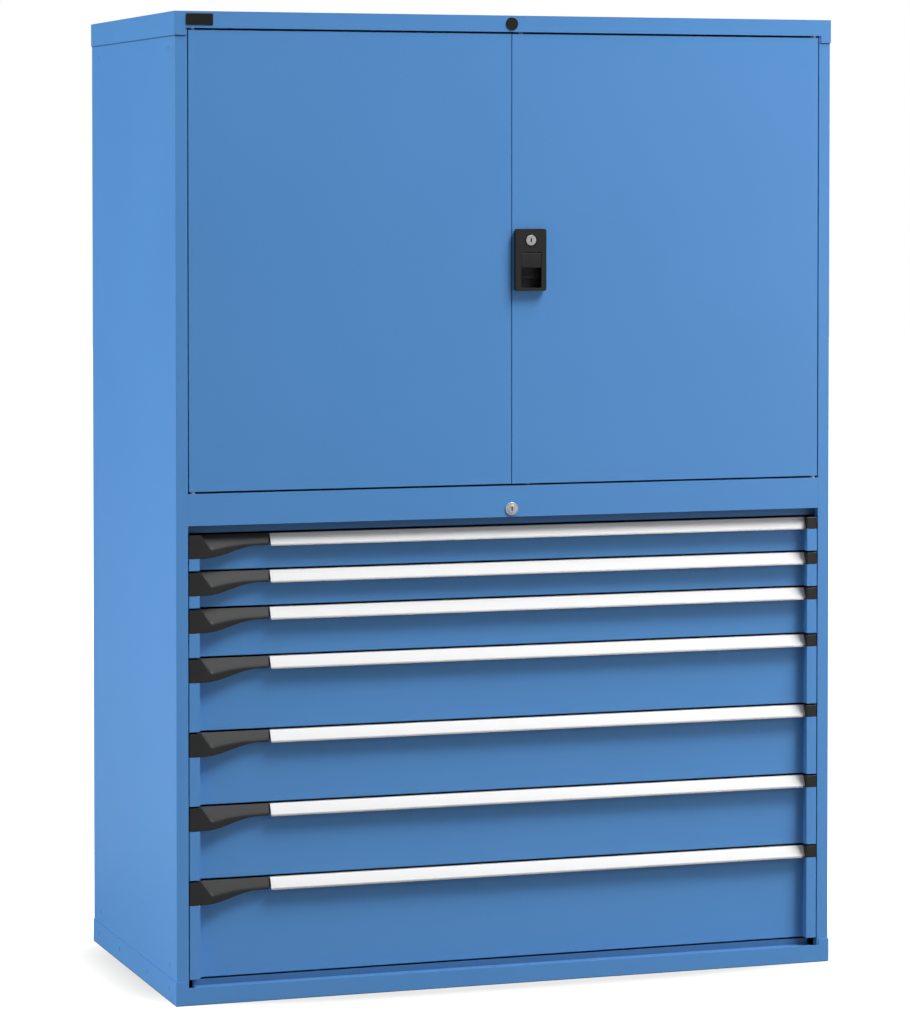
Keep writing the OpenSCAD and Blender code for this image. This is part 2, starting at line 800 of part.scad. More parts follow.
module drawer_lock_bar() {
    upright_x = 4;
    upright_end_x = 16;
    bar_low = base_h + 15;
    lag = bar_travel * sine_lag;
    play = 0.4;
    tongue_h = 12;
    tongue_end_x = stile_w - 3;
    arm_low = drawer_lock_z - arm_h / 2;
    color(zinc) {
        mirror([1, 0, 0]) from_left() {
            block([upright_x, bar_y, bar_low], [upright_end_x, bar_y + bar_t, arm_low + arm_h]);
            for (i = [0 : drawer_n - 1])
                translate([0, bar_y, drawer_z(i) + slide_rise])
                    block([upright_end_x, 0, 0], [tongue_end_x, bar_t, tongue_h]);
        }
        from_middle() difference() {
            block([-bar_travel - arm_h / 2, bar_y, arm_low],
                  [mid_x - upright_x, bar_y + bar_t, arm_low + arm_h]);
            block([-cam_pin_r - play, bar_y - 1, drawer_lock_z - cam_pin_r - play],
                  [bar_travel + cam_pin_r + play, bar_y + bar_t + 1, drawer_lock_z + lag + cam_pin_r + play]);
        }
    }
}

// Drawer box with its recessed front, the two strips in the front plane and the grip's hinge ears
notch_depth = 12;
ear_top = 2;
ear_drop = 16;

module front_strip(z0, z1) {
    block([front_x, 0, z0], [box_x, sheet_t, z1]);
    block([front_x, 0, z0], [front_x + sheet_t, strip_return, z1]);
    block([wall_x, 0, z0], [box_x, recess_d + 1, z1]);
}

module box_wall(z0, z1, slide_z) {
    outer = slide_h / 2 + rail_t;
    block([wall_x, recess_d, z0], [box_x, box_back_y + sheet_t, z1]);
    for (z = [slide_z - outer, slide_z + slide_h / 2])
        block([box_lip_x, slide_y, z], [box_x, box_back_y, z + rail_t]);
}

module drawer_body(i) {
    z0 = drawer_z(i);
    top = drawer_top(i);
    wall_top = top - wall_drop;
    slide_z = z0 + slide_rise;
    color(steel_blue) difference() {
        union() {
            both_sides() box_wall(z0, wall_top, slide_z);
            from_left() {
                front_strip(z0, top - grip_h - seat_gap);
                block([wall_x, recess_d, z0], [body_w - wall_x, box_back_y + sheet_t, z0 + sheet_t]);
                block([wall_x, box_back_y, z0], [body_w - wall_x, box_back_y + sheet_t, wall_top]);
                block([wall_x, recess_d, z0], [body_w - wall_x, recess_d + sheet_t, top - 1]);
                for (x = [arm_1_x + arm_w + 2, arm_2_x - 2 - ear_w])
                    block([x, recess_d, top - ear_drop], [x + ear_w, grip_pivot_y + 4, top - ear_top]);
            }
            mirror([1, 0, 0]) from_left() front_strip(z0, top - end_cap_h - seat_gap);
        }
        from_left() {
            block([arm_1_x - 4, recess_d - 1, top - notch_depth],
                  [arm_1_x + arm_w + 1.5, recess_d + sheet_t + 1, top]);
            block([arm_2_x - 1.5, recess_d - 1, top - notch_depth],
                  [arm_2_x + arm_w + 4, recess_d + sheet_t + 1, top]);
            bar_x_axis(grip_pivot_y, top - grip_pivot_drop, grip_pin_r + fit_gap, arm_1_x, arm_2_x + arm_w);
        }
    }
}

// Point of the handle's cross-section: s down the slope from its top edge, out along the face's normal
function on_slope(s, out) = [face_top_y + s * slope_y + out * slope_z, s * slope_z - out * slope_y];

// Handle: a light-alloy profile with a lip that carries the white label strip
module drawer_handle(i) {
    foot_h = 16;
    foot_t = 1.5;
    root_h = 5.6;
    label_gap = 0.1;
    label_s = [label_top, slope_l - label_lip];
    translate([0, 0, drawer_top(i)]) from_left() {
        color(alloy) along_x(handle_x, body_w - box_x) polygon([
            [recess_d, 0],
            on_slope(0, 0),
            on_slope(label_s[0], 0),
            on_slope(label_s[0], -label_t),
            on_slope(label_s[1], -label_t),
            on_slope(label_s[1], 0),
            on_slope(slope_l, 0),
            on_slope(slope_l, -handle_t),
            [on_slope(root_h, -handle_t)[0], -root_h],
            [recess_d - foot_t, -root_h],
            [recess_d - foot_t, -foot_h],
            [recess_d, -foot_h]]);
        color(white) along_x(handle_x, body_w - box_x) polygon([
            for (corner = [[0, 1], [0, 0], [1, 0], [1, 1]])
                on_slope(label_s[corner[0]] + (1 - 2 * corner[0]) * label_gap,
                         corner[1] * (label_gap - label_t))]);
    }
}

// Plan of the grip's front, from its left end: distance along it and depth behind the front plane
grip_plan = [[0, 0], [25, 1.2], [53, 3.6], [83, 6.2], [113, 7.8]];
grip_end_y = 8.9;
grip_back_y = recess_d - 1;
wave_start = 30.8;
wave_end = 148.8;
wave_steps = 12;

// Lower edge of the grip: half a cosine wave from the tall end to the low end
function wave_x(k) = grip_x + wave_start + (wave_end - wave_start) * k / wave_steps;
function wave_z(k) = -grip_low_h - (grip_h - grip_low_h) * (1 + cos(180 * k / wave_steps)) / 2;

// Outer form of the grip when inset is 0, and the hollow behind it when inset is its wall
module grip_form(inset) {
    open = inset > 0 ? grip_h : 0;
    end_x = grip_end_x - inset;
    step_top = grip_x + grip_step_x - inset;
    back = grip_back_y + (inset > 0 ? 1 : 0);
    slope_shift = inset / -slope_z;
    cut_l = slope_l * 2;
    difference() {
        intersection() {
            translate([0, 0, -2 * grip_h]) linear_extrude(2 * grip_h - inset) polygon(concat(
                [for (p = grip_plan) [grip_x + max(p[0], inset), p[1] + inset]],
                [[end_x, grip_end_y + inset], [end_x, back], [grip_x + inset, back]]));
            along_y(-1, recess_d + 1) polygon(concat(
                [[grip_x, 1], [grip_x, -grip_h - open]],
                [for (k = [0 : wave_steps]) [wave_x(k), wave_z(k) - open]],
                [[grip_end_x + 1, -grip_low_h - open], [grip_end_x + 1, 1]]));
        }
        intersection() {
            along_x(step_top, grip_end_x + 2) polygon([
                [face_top_y + slope_shift, 0] - 3 * [slope_y, slope_z],
                [face_top_y + slope_shift, 0] + cut_l * [slope_y, slope_z],
                [-cut_l, cut_l * slope_z],
                [-cut_l, 3]]);
            along_y(-cut_l, recess_d + 2) polygon([
                [step_top - 3 * grip_step_run / grip_step_drop, 3],
                [step_top + cut_l * grip_step_run / grip_step_drop, -cut_l],
                [grip_end_x + cut_l, -cut_l],
                [grip_end_x + cut_l, 3]]);
        }
    }
}

// Grip: a black moulded catch lever that covers the left end of the handle
module drawer_grip(i) {
    arm_low = -9;
    arm_high = -3;
    color(black) translate([0, 0, drawer_top(i)]) from_left() {
        difference() {
            grip_form(0);
            grip_form(grip_t);
        }
        for (x = [arm_1_x, arm_2_x])
            block([x, recess_d - 3, arm_low], [x + arm_w, grip_pivot_y + 3, arm_high]);
        bar_x_axis(grip_pivot_y, -grip_pivot_drop, grip_pin_r, arm_1_x, arm_2_x + arm_w);
    }
}

// Cap that closes the right end of the handle
module drawer_end_cap(i) {
    wall = 2;
    color(black) translate([0, 0, drawer_top(i)]) mirror([1, 0, 0]) from_left() difference() {
        block([front_x, 0, -end_cap_h], [box_x, recess_d, 0]);
        block([front_x + wall, wall, -end_cap_h + wall], [box_x - wall, recess_d + 1, -wall]);
    }
}

// Middle members of the two slides of a drawer
module drawer_slides(i) {
    z = drawer_z(i) + slide_rise;
    half = slide_h / 2 - slide_gap;
    color(zinc) both_sides() {
        block([slide_x, slide_y, z - half], [slide_x + rail_t, slide_end_y, z + half]);
        block([slide_x, slide_y, z - slide_web_t / 2], [slide_end_x, slide_end_y, z + slide_web_t / 2]);
        block([slide_end_x - rail_t, slide_y, z - half], [slide_end_x, slide_end_y, z + half]);
    }
}

DRAWER_PARTS = ["body", "handle", "grip", "end_cap", "slides"];

base_tray();
left_side();
right_side();
back_panel();
top_cap();
top_plug();
badge_plate();
fascia_rail();
divider_floor();
corner_posts();
shelves();
shelf_clips();
slide_rails();
hinge_pins();
left_door();
right_door();
lock_housing();
lock_paddle();
key_cylinder();
lock_rotor();
upper_rod();
lower_rod();
drawer_lock_body();
drawer_lock_plug();
drawer_lock_bar();
for (i = [0 : drawer_n - 1]) {
    drawer_body(i);
    drawer_handle(i);
    drawer_grip(i);
    drawer_end_cap(i);
    drawer_slides(i);
}
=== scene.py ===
"""Sheet-steel tool cabinet with two doors above seven drawers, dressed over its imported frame."""
import math

import bmesh
import bpy
import numpy as np
from bpy.props import FloatProperty, FloatVectorProperty, IntProperty, PointerProperty
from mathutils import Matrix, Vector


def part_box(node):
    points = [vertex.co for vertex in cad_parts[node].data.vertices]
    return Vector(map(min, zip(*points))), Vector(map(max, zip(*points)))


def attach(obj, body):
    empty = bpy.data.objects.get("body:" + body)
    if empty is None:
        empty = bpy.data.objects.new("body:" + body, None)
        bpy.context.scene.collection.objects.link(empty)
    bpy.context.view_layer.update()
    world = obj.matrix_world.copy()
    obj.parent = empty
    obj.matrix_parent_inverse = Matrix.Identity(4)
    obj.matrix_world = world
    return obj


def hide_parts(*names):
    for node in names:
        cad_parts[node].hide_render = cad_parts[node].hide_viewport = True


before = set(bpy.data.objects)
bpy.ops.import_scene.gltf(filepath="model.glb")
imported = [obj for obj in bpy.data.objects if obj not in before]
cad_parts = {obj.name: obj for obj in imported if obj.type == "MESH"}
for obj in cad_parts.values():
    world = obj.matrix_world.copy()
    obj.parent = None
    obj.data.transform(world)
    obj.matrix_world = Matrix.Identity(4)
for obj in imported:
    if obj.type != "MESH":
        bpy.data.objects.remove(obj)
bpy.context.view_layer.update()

bl_info = {
    "name": "Tool cabinet with doors",
    "version": (1, 0, 0),
    "blender": (4, 5, 0),
    "location": "3D View > Sidebar > Cabinet",
    "description": "Dresses the frame of a tool cabinet with its handles, grips, locks and finishes",
    "category": "Object",
}

MM = 0.001
DRAWERS = range(1, 8)
SHEET_NODES = {
    "base_tray": "cabinet", "left_side": "cabinet", "right_side": "cabinet", "back_panel": "cabinet",
    "top_cap": "cabinet", "fascia_rail": "cabinet", "divider_floor": "cabinet",
    "corner_posts": "cabinet", "shelves": "cabinet",
    "left_door": "left_door_leaf", "right_door": "right_door_leaf",
}
ZINC_NODES = (
    "shelf_clips", "slide_rails", "hinge_pins", "lock_rotor", "upper_rod", "lower_rod", "drawer_lock_bar",
)
# Name, power in watts, length of a side, place and target
LAMPS = (
    ("high lamp", 2270, 4.0, (5.0, -3.6, 11.0), (0, -0.3, 1.0)),
    ("left lamp", 395, 3.2, (-7.0, 0.4, 3.0), (0, 0, 1.0)),
    ("low left lamp", 14, 1.2, (-2.6, -0.3, 0.35), (-0.7, -0.1, 0.35)),
    ("overhead lamp", 22, 2.2, (1.9, -1.4, 4.0), (0.6, -0.8, 0.0)),
    ("right lamp", 36, 1.6, (3.2, -2.4, 1.5), (0.3, -0.3, 1.0)),
)
# Camera as fitted to the photograph: its place, its turns in radians, and its shift in lengths of the
# picture's longer side
CAMERA_PLACE = (-2.6580, -7.8538, 1.6574)
CAMERA_DOWN = 0.0295
CAMERA_RIGHT = 0.3259
CAMERA_SHIFT = -0.2107
WHITE = (1, 1, 1, 1)
NEAR_BLACK = (0.001, 0.001, 0.001, 1)

# Edges that turn by more than this are shaded as edges, and the bevels round them
SHARP = math.radians(35)
# Neighbouring faces of the frame that turn by less than this are one flat face
FLAT = math.radians(1)
# Corners closer than this are merged, in new shapes and in copies of the frame's nodes
NEW_MERGE = 0.001 * MM
COPY_MERGE = 0.005 * MM
# Depth behind the drawer's front plane at which the handle's sloping face and the grip's begin
SLOPE_TOP = 18.6 * MM


def corners(node):
    """Lowest and highest corner of a node of the frame, as two arrays."""
    low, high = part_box(node)
    return np.array(low), np.array(high)


# Front plane of the doors and the drawers
FRONT = float(corners("left_door")[0][1])


# Meshes

def grid_faces(rows, columns, closed=False):
    """Quads of a grid of points numbered row by row; closed joins the last column to the first."""
    across = np.arange(columns if closed else columns - 1)
    row, column = np.meshgrid(np.arange(rows - 1), across, indexing="ij")
    beside = (column + 1) % columns
    quads = [row * columns + column, row * columns + beside,
             (row + 1) * columns + beside, (row + 1) * columns + column]
    return np.stack(quads, axis=-1).reshape(-1, 4).tolist()


def rounded(outline, radius, steps=5):
    """Closed outline with each corner turned into a curve: a second-degree blend that leaves the edges
    at the radius times the cotangent of half the corner's angle, or at 0.45 of the shorter edge."""
    points = np.asarray(outline, float)
    radius = np.broadcast_to(np.asarray(radius, float), len(points))
    to_last = np.roll(points, 1, axis=0) - points
    to_next = np.roll(points, -1, axis=0) - points
    last_length = np.linalg.norm(to_last, axis=1)
    next_length = np.linalg.norm(to_next, axis=1)
    to_last /= last_length[:, None]
    to_next /= next_length[:, None]
    least_half, edge_share = 0.05, 0.45
    half = np.arccos(np.clip((to_last * to_next).sum(axis=1), -1, 1)) / 2
    cut = np.minimum(radius / np.tan(np.maximum(half, least_half)),
                     edge_share * np.minimum(last_length, next_length))
    start = (points + cut[:, None] * to_last)[:, None]
    end = (points + cut[:, None] * to_next)[:, None]
    t = np.linspace(0, 1, steps)[None, :, None]
    curve = (1 - t) ** 2 * start + 2 * t * (1 - t) * points[:, None] + t ** 2 * end
    return curve.reshape(-1, 2)


def circle(radius, centre, segments=24):
    """Closed outline of a circle: depth = radius times cosine, height = radius times sine, about the centre."""
    angle = np.linspace(0, 2 * math.pi, segments, endpoint=False)
    return np.column_stack([np.cos(angle), np.sin(angle)]) * radius + centre


def carried(outline, x0, x1):
    """Surface of a closed outline of depth and height carried along X from x0 to x1, both ends filled."""
    count = len(outline)
    sections = [np.column_stack([np.full(count, x), outline]) for x in (x0, x1)]
    faces = grid_faces(2, count, closed=True)
    return np.concatenate(sections), faces + [list(range(count)), list(range(count, 2 * count))]


def turned(profile, centre, segments=64):
    """Surface of revolution about a line along Y through centre: the profile gives radius and depth, and a
    point goes round at x = radius times cosine, z = radius times sine. Its first and last radius are 0."""
    profile = np.asarray(profile, float)
    angle = np.linspace(0, 2 * math.pi, segments, endpoint=False)
    radius, depth = profile[:, 0, None], profile[:, 1, None]
    level = np.broadcast_to(centre[1] + depth, (len(profile), segments))
    points = [centre[0] + radius * np.cos(angle), level, centre[2] + radius * np.sin(angle)]
    return np.stack(points, axis=-1).reshape(-1, 3), grid_faces(len(profile), segments, closed=True)


def joined(*shapes):
    """Several shapes of points and faces as one, with the faces' corner numbers moved along."""
    faces, start = [], 0
    for points, own in shapes:
        faces += [[corner + start for corner in face] for face in own]
        start += len(points)
    return np.concatenate([points for points, _ in shapes]), faces


def piece(name, shape, body, material, nodes=()):
    """Object of a shape: doubles are merged, faces turned outwards, and it rides on its body."""
    mesh = bpy.data.meshes.new(name)
    points, faces = shape
    mesh.from_pydata(np.asarray(points).tolist(), [], faces)
    form = bmesh.new()
    form.from_mesh(mesh)
    bmesh.ops.remove_doubles(form, verts=form.verts, dist=NEW_MERGE)
    bmesh.ops.recalc_face_normals(form, faces=form.faces)
    form.to_mesh(mesh)
    form.free()
    return placed(name, mesh, body, material, nodes)


def softened(node, body, material, width, flat=False):
    """Copy of a node of the frame with its flat faces whole again and its edges slightly rounded. A flat
    copy shades each face by itself, as folded sheet needs."""
    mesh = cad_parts[node].data.copy()
    mesh.materials.clear()
    form = bmesh.new()
    form.from_mesh(mesh)
    bmesh.ops.remove_doubles(form, verts=form.verts, dist=COPY_MERGE)
    bmesh.ops.dissolve_limit(form, angle_limit=FLAT, verts=form.verts, edges=form.edges)
    form.to_mesh(mesh)
    form.free()
    made = placed(node + "_sheet", mesh, body, material, (node,))
    if flat:
        mesh.shade_flat()
    add_bevel(made, width)


def placed(name, mesh, body, material, nodes):
    """Object of a finished mesh, with its material, its body and the nodes that it stands for."""
    made = bpy.data.objects.new(name, mesh)
    bpy.context.scene.collection.objects.link(made)
    mesh.shade_smooth()
    mesh.set_sharp_from_angle(angle=SHARP)
    mesh.materials.append(material)
    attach(made, body)
    if nodes:
        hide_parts(*nodes)
    return made


def add_bevel(made, width, segments=2):
    """Rounds every sharp edge."""
    bevel = made.modifiers.new("edges", "BEVEL")
    bevel.width = width
    bevel.segments = segments
    bevel.limit_method = "ANGLE"
    bevel.angle_limit = SHARP
    bevel.harden_normals = True


# Materials

class Value:
    """A socket of a node tree. Arithmetic on it adds Math nodes, so a formula reads as one."""

    def __init__(self, tree, socket):
        self.tree = tree
        self.socket = socket

    def math(self, operation, *values):
        return self.tree.node("Math", {"operation": operation}, dict(enumerate(values)))

    def __add__(self, other):
        return self.math("ADD", self, other)

    def __sub__(self, other):
        return self.math("SUBTRACT", self, other)

    def __mul__(self, other):
        return self.math("MULTIPLY", self, other)

    def __rsub__(self, other):
        return self.math("SUBTRACT", other, self)

    def __truediv__(self, other):
        return self.math("DIVIDE", self, other)

    def __lt__(self, other):
        return self.math("LESS_THAN", self, other)

    def at_least(self, limit):
        return self.math("MAXIMUM", self, limit)

    __radd__ = __add__
    __rmul__ = __mul__


class Tree:
    """The node tree of a material or of the world, emptied."""

    def __init__(self, owner):
        owner.use_nodes = True
        self.nodes = owner.node_tree.nodes
        self.links = owner.node_tree.links
        self.nodes.clear()

    def node(self, kind, settings=None, inputs=None, output=0):
        """Adds a node: its settings first, then each input's value or link, and gives one of its outputs."""
        made = self.nodes.new("ShaderNode" + kind)
        for key, value in (settings or {}).items():
            setattr(made, key, value)
        for key, value in (inputs or {}).items():
            if isinstance(value, Value):
                self.links.new(value.socket, made.inputs[key])
            else:
                made.inputs[key].default_value = value
        return Value(self, made.outputs[output]) if made.outputs else None


class Finish(Tree):
    """A procedural material."""

    def __init__(self, name):
        self.material = bpy.data.materials.new(name)
        super().__init__(self.material)

    def place(self, stretch=(1, 1, 1)):
        """Object coordinates, stretched along each axis."""
        return self.node("Mapping", {}, {"Vector": self.node("TexCoord", output="Object"), "Scale": stretch})

    def noise(self, scale, detail, stretch=(1, 1, 1)):
        return self.node("TexNoise", {}, {"Vector": self.place(stretch), "Scale": scale, "Detail": detail})

    def away(self, centre, stretch):
        """Distance from a point in object coordinates; a stretch of 0 leaves an axis out."""
        from_centre = self.node("VectorMath", {"operation": "SUBTRACT"}, {
            0: self.node("TexCoord", output="Object"), 1: tuple(centre)})
        scaled = self.node("VectorMath", {"operation": "MULTIPLY"}, {0: from_centre, 1: stretch})
        return self.node("VectorMath", {"operation": "LENGTH"}, {0: scaled}, output="Value")

    def mix(self, factor, first, second):
        """Colour between first and second."""
        return self.node("Mix", {"data_type": "RGBA"}, {0: factor, 6: first, 7: second}, output=2)

    def bump(self, height, distance, strength):
        return self.node("Bump", {}, {"Height": height, "Distance": distance, "Strength": strength})

    def principled(self, inputs):
        self.node("OutputMaterial", {}, {"Surface": self.node("BsdfPrincipled", {}, inputs)})
        return self.material


def shade(colour, factor):
    """A colour made lighter or darker, with full opacity."""
    return tuple(min(1.0, part * factor) for part in colour[:3]) + (1.0,)


def powder_coat(name, colour, front=None, cap_edge_height=None):
    """Semi-gloss powder coat: a fine orange-peel bump, faint clouds in its colour and in its gloss. Given
    the depth of a front face, the coat is darker between the side panels from 1.2 to 60 mm behind it: painted
    shade on the faces set back there. Given the height of the cap's lower edge, it is darker over the 2.4 mm
    below it: a painted shadow line."""
    finish = Finish(name)
    clouds = finish.noise(3.0, 3.0)
    peel = finish.noise(420.0, 1.0)
    grain = finish.noise(1500.0, 1.0)
    coat = finish.mix(clouds * 0.7 + grain * 0.3, shade(colour, 0.96), shade(colour, 1.04))
    if front is not None:
        # Painted shade on the faces set back from 1.2 to 60 mm behind the front face
        half_width, first, last = 0.70, 1.2 * MM, 60 * MM
        between = finish.away((0, 0, 0), (1, 0, 0)) < half_width
        depth = finish.away((0, front, 0), (0, 1, 0))
        painted_shade = (1 - (depth < first)) * (depth < last)
        coat = finish.mix(between * painted_shade, coat, shade(colour, 0.60))
    if cap_edge_height is not None:
        # Painted shadow line: darker over the 2.4 mm below the cap's lower edge
        half = 1.2 * MM
        below = finish.away((0, 0, cap_edge_height - half), (0, 0, 1)) < half
        coat = finish.mix(below, coat, shade(colour, 0.45))
    return finish.principled({
        "Base Color": coat,
        "Roughness": 0.40 + 0.06 * clouds,
        "Normal": finish.bump(peel + 0.3 * grain, 0.06 * MM, 0.6),
    })


def zinc_plate(name, low, high, metallic):
    """Zinc on rolled steel: small spangles between two greys, and fine lines from the rolling."""
    finish = Finish(name)
    spangle = finish.node("TexVoronoi", {}, {"Vector": finish.place(), "Scale": 90.0}, output="Color")
    flake = finish.node("SeparateColor", {}, {"Color": spangle})
    rolled = finish.noise(30.0, 3.0, (1, 30, 1))
    return finish.principled({
        "Base Color": finish.mix(flake, (low, low, low * 0.99, 1), (high, high, high * 0.99, 1)),
        "Metallic": metallic,
        "Roughness": 0.34 + 0.12 * flake + 0.08 * rolled,
        "Normal": finish.bump(rolled, 0.03 * MM, 0.4),
    })


def chrome_plate(name, centre):
    """Satin chrome of a lock cylinder: brushed in rings about its axis, and painted dark inside the key slot as
    shade there, where the distance across the slot is under 1.3 mm and the one along it under 4.4 mm."""
    finish = Finish(name)
    brushed = finish.noise(600.0, 2.0)
    rings = finish.node("TexNoise", {"noise_dimensions": "1D"}, {
        "W": finish.away(centre, (1, 0, 1)) * 1400.0, "Scale": 1.0, "Detail": 1.0})
    # Painted shade: near black inside the key slot
    slot = (finish.away(centre, (1, 0, 0)) < 1.3 * MM) * (finish.away(centre, (0, 0, 1)) < 4.4 * MM)
    satin = finish.mix(0.5 * brushed + 0.5 * rings, (0.60, 0.60, 0.61, 1), (0.80, 0.80, 0.81, 1))
    return finish.principled({
        "Base Color": finish.mix(slot, satin, (0.01, 0.01, 0.01, 1)),
        "Metallic": 0.55,
        "Roughness": 0.24 + 0.10 * brushed,
        "Normal": finish.bump(rings, 0.02 * MM, 0.4),
    })


def drawn_alloy():
    """Anodised light alloy, drawn along X: streaks run along the length."""
    finish = Finish("drawn light alloy")
    streaks = finish.noise(1.0, 4.0, (2, 2600, 2600))
    return finish.principled({
        "Base Color": finish.mix(streaks, (0.22, 0.22, 0.23, 1), (0.29, 0.29, 0.30, 1)),
        "Metallic": 0.6,
        "Roughness": 0.34 + 0.14 * streaks,
        "Normal": finish.bump(streaks, 0.02 * MM, 0.5),
    })


def moulded(name, colour, gloss, hole=None, radius=0.0):
    """Moulded plastic with a fine spark-eroded grain. Within the radius of a hole's axis it is painted near
    black, as painted shade in the groove round a lock cylinder."""
    finish = Finish(name)
    grain = finish.noise(1400.0, 2.0)
    flow = finish.noise(12.0, 2.0)
    body = finish.mix(flow, shade(colour, 0.94), shade(colour, 1.06))
    if hole is not None:
        # Painted shade: near black within the radius round the hole, for the groove's shade
        body = finish.mix(finish.away(hole, (1, 0, 1)) < radius, body, NEAR_BLACK)
    return finish.principled({
        "Base Color": body,
        "Specular IOR Level": 0.35,
        "Roughness": gloss + 0.10 * grain,
        "Normal": finish.bump(grain, 0.05 * MM, 0.7),
    })


def label_film(colour):
    """White matt film."""
    finish = Finish("label strip")
    fibres = finish.noise(500.0, 3.0)
    return finish.principled({
        "Base Color": finish.mix(fibres, shade(colour, 0.985), shade(colour, 1.0)),
        "Roughness": 0.80 + 0.06 * fibres,
        "Specular IOR Level": 0.25,
    })


# Settings

class CabinetFinishes(bpy.types.PropertyGroup):
    """Colours of the cabinet."""
    steel: FloatVectorProperty(
        name="Steel", description="Colour of the powder coat",
        subtype="COLOR", size=3, min=0, max=1, default=(0.080, 0.260, 0.585))
    moulding: FloatVectorProperty(
        name="Mouldings", description="Colour of the grips and end caps",
        subtype="COLOR", size=3, min=0, max=1, default=(0.0175, 0.0178, 0.0185))
    lock: FloatVectorProperty(
        name="Door lock", description="Colour of the lock housing and paddle",
        subtype="COLOR", size=3, min=0, max=1, default=(0.0165, 0.0160, 0.0155))
    label: FloatVectorProperty(
        name="Labels", description="Colour of the label strips",
        subtype="COLOR", size=3, min=0, max=1, default=(0.67, 0.67, 0.67))
    fold: FloatProperty(
        name="Fold radius", description="Rounding of the sheet-metal edges",
        default=0.5 * MM, min=0.1 * MM, max=0.7 * MM, subtype="DISTANCE", unit="LENGTH")


class CabinetHandles(bpy.types.PropertyGroup):
    """Sizes of the handles and grips."""
    reach: FloatProperty(
        name="Reach", description="How far the sloping face comes forward",
        default=12.6 * MM, min=10 * MM, max=14 * MM, subtype="DISTANCE", unit="LENGTH")
    drop: FloatProperty(
        name="Drop", description="How far the sloping face reaches down",
        default=25.5 * MM, min=22 * MM, max=28 * MM, subtype="DISTANCE", unit="LENGTH")
    wall: FloatProperty(
        name="Profile wall", description="Thickness of the handle profile",
        default=1.6 * MM, min=1.4 * MM, max=2 * MM, subtype="DISTANCE", unit="LENGTH")
    lip: FloatProperty(
        name="Lip", description="Width of the bare lip below the label strip",
        default=4.0 * MM, min=3 * MM, max=8 * MM, subtype="DISTANCE", unit="LENGTH")
    start: FloatProperty(
        name="Start", description="Length at the grip's end that the profile leaves to its tongue",
        default=3.2 * MM, min=2 * MM, max=5 * MM, subtype="DISTANCE", unit="LENGTH")
    grip_tall: FloatProperty(
        name="Grip height", description="Height of the grip at its left end",
        default=47 * MM, min=40 * MM, max=48 * MM, subtype="DISTANCE", unit="LENGTH")
    grip_low: FloatProperty(
        name="Grip low height", description="Height of the grip at its right end",
        default=23.5 * MM, min=20 * MM, max=26 * MM, subtype="DISTANCE", unit="LENGTH")
    grip_wall: FloatProperty(
        name="Grip wall", description="Wall thickness of the grip",
        default=2.5 * MM, min=2 * MM, max=3 * MM, subtype="DISTANCE", unit="LENGTH")
    columns: IntProperty(name="Columns", description="Points along a grip", default=72, min=24, max=160)


class CabinetStage(bpy.types.PropertyGroup):
    """Camera and light."""
    lens: FloatProperty(
        name="Lens", description="Focal length in millimetres", default=135.803, min=20, max=300)
    ambient: FloatProperty(
        name="Ambient", description="Strength of the light from all sides", default=0.03, min=0, max=2)
    sky: FloatProperty(
        name="Sky", description="Strength that the light from straight above adds to it",
        default=0.57, min=0, max=2)
    glow: FloatProperty(
        name="Floor glow", description="Brightness that the floor adds for the camera",
        default=1.7, min=0, max=3)
    lamps: FloatProperty(
        name="Lamps", description="Factor on the power of all lamps", default=1.0, min=0, max=4)


# Operators

class FinishSheets(bpy.types.Operator):
    """Powder-coated sheet steel of the body, the doors and the drawers, with its folds rounded"""
    bl_idname = "cabinet.finish_sheets"
    bl_label = "Sheet steel"

    def execute(self, context):
        finishes = context.scene.cabinet_finishes
        steel = finishes.steel
        plain = powder_coat("powder coat", steel)
        # Painted shade on the ledge behind the base's front and on the fascia's set-back edge
        ledge = powder_coat("powder coat with painted shade on the ledge", steel, front=corners("base_tray")[0][1])
        # The side panels get a painted shadow line under the cap's lower edge
        cap_shadow_coat = powder_coat("powder coat with a painted shadow line", steel, cap_edge_height=corners("top_cap")[0][2])
        edge = powder_coat("powder coat with painted shade on the set-back edge", steel, front=corners("fascia_rail")[0][1])
        own = {"base_tray": ledge, "fascia_rail": edge, "left_side": cap_shadow_coat, "right_side": cap_shadow_coat}
        sheets = dict(SHEET_NODES, **{f"drawer_{n}_body": f"drawer_{n}" for n in DRAWERS})
        for node, body in sheets.items():
            softened(node, body, own.get(node, plain), finishes.fold, flat=True)
        return {"FINISHED"}


class FinishMetalParts(bpy.types.Operator):
    """Zinc-plated slides, rods, pins and clips, which keep the frame's own shape"""
    bl_idname = "cabinet.finish_metal_parts"
    bl_label = "Metal parts"

    def execute(self, context):
        zinc = zinc_plate("zinc plate", 0.50, 0.62, 0.8)
        own = {"hinge_pins": zinc_plate("dull zinc", 0.34, 0.44, 0.3)}
        own["upper_rod"] = own["lower_rod"] = zinc_plate("bright zinc", 0.82, 0.90, 0.2)
        for node in ZINC_NODES + tuple(f"drawer_{n}_slides" for n in DRAWERS):
            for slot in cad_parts[node].material_slots:
                slot.material = own.get(node, zinc)
        return {"FINISHED"}


def slope_point(settings, along, out=0):
    """Point of the handle's outline: along the sloping face from its top edge, then out along its normal.
    Depth counts from the front plane of the drawer and height from the top of the handle."""
    length = math.hypot(settings.reach, settings.drop)
    down = np.array([-settings.reach, -settings.drop]) / length
    normal = np.array([down[1], -down[0]])
    return np.array([SLOPE_TOP, 0]) + along * down + out * normal


